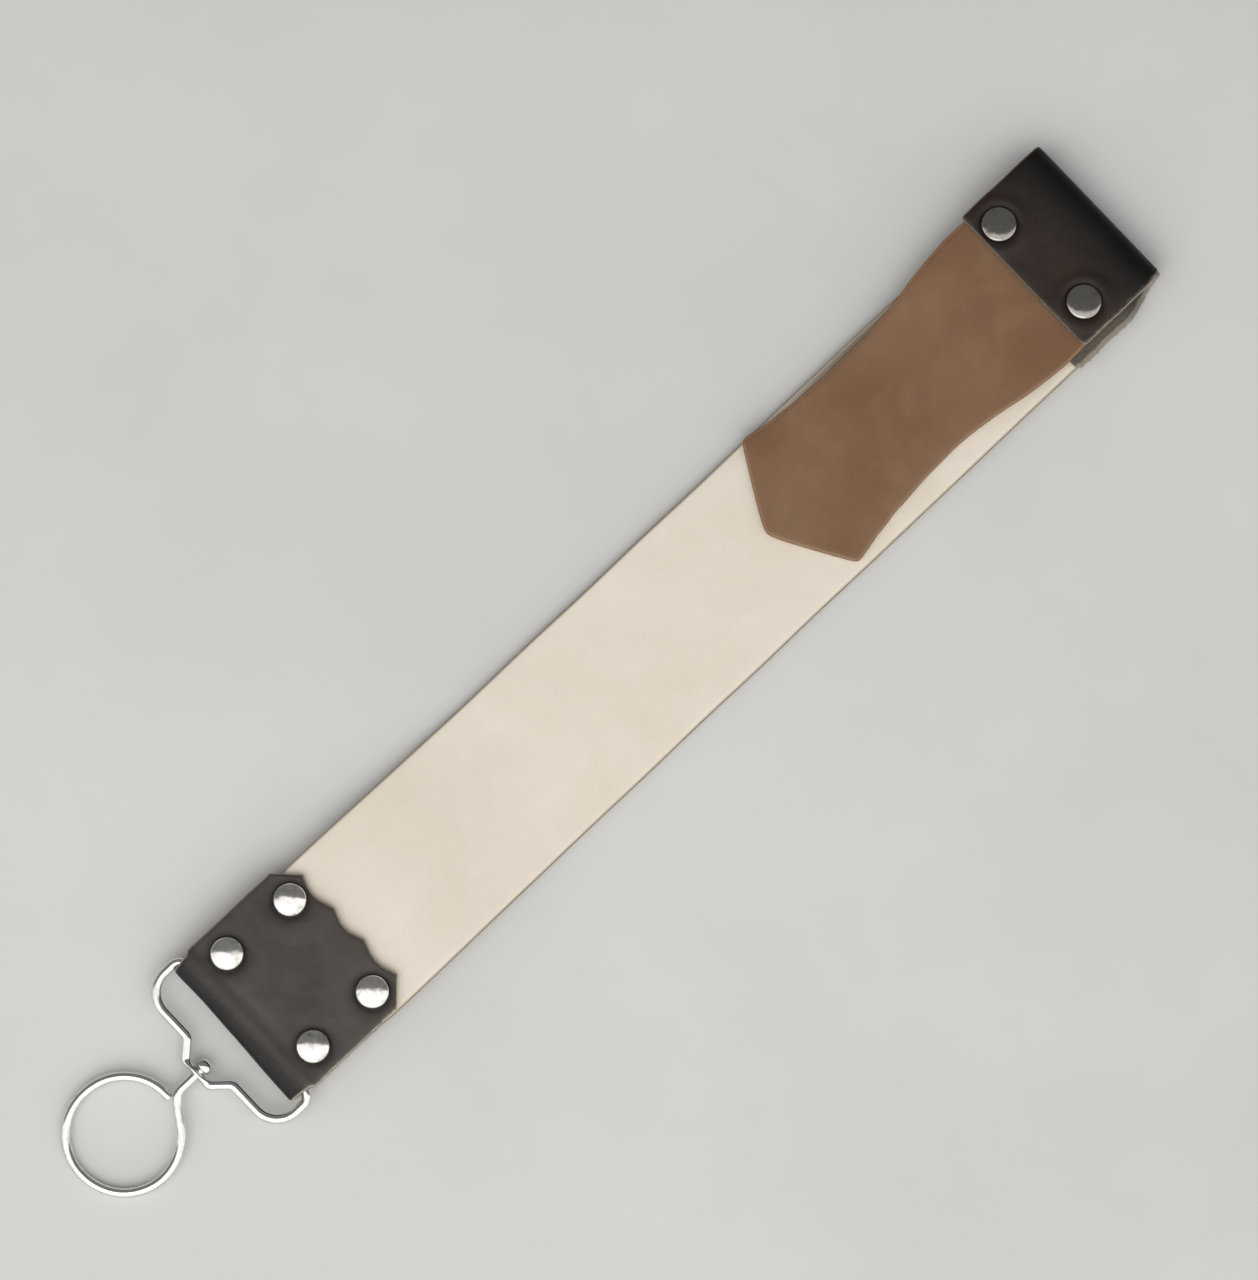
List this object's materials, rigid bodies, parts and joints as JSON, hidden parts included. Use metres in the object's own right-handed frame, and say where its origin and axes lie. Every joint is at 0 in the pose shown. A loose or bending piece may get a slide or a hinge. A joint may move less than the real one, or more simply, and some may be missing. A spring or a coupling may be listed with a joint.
{
  "type": "hanging leather strop",
  "caption": "Flat leather strap with a waisted handle leather, riveted leather folds at both ends, and a wire bail with a swivel ring to hang it by.",
  "frame": {"origin": "middle of the bounding box's base, on the surface that the strop lies on", "axes": "+X along the strop from the ring to the handle end, +Z out of the working face"},
  "size_m": [0.4721, 0.0672, 0.0149],
  "materials": {
    "natural_leather": "smooth pale vegetable tan, waxed, darker cut edges",
    "tan_leather": "mid-brown pull-up leather with lighter mottling",
    "dark_leather": "dark brown bridle leather, waxed, raw pale edges",
    "brown_leather": "dark brown bridle leather, waxed, raw pale edges",
    "nickel_wire": "bright nickel-plated steel wire",
    "rivet_nickel": "bright nickel plate with light scratches"
  },
  "bodies": {
    "strop": {"strap": "natural_leather", "handle_fixed_end": "tan_leather", "lower_fold": "dark_leather", "top_fold": "brown_leather", "rivet_cap_lower_1": "rivet_nickel", "rivet_cap_lower_2": "rivet_nickel", "rivet_cap_lower_3": "rivet_nickel", "rivet_cap_lower_4": "rivet_nickel", "rivet_post_lower_1": "rivet_nickel", "rivet_post_lower_2": "rivet_nickel", "rivet_post_lower_3": "rivet_nickel", "rivet_post_lower_4": "rivet_nickel", "rivet_cap_top_1": "rivet_nickel", "rivet_cap_top_2": "rivet_nickel", "rivet_post_top_1": "rivet_nickel", "rivet_post_top_2": "rivet_nickel"},
    "bail_wire": {"bail": "nickel_wire"},
    "ring_wire": {"swivel_ring": "nickel_wire"},
    "leaf": {"handle_leaf": "tan_leather"}
  },
  "joints": [
    {"name": "bail_pivot", "type": "hinge", "parent": "strop", "child": "bail_wire", "pos_m": [-0.16119, 0, 0.0061], "axis": [0, 1, 0], "range_deg": [-95, 105]},
    {"name": "ring_swivel", "type": "hinge", "parent": "bail_wire", "child": "ring_wire", "pos_m": [-0.18335, 0, 0.00475], "axis": [-0.9982, 0, -0.0606], "continuous": true},
    {"name": "handle_lift", "type": "hinge", "parent": "strop", "child": "leaf", "pos_m": [0.19581, 0, 0.0099], "axis": [0, 1, 0], "range_deg": [0, 30], "stiffness_Nm_per_rad": 0.03}
  ]
}
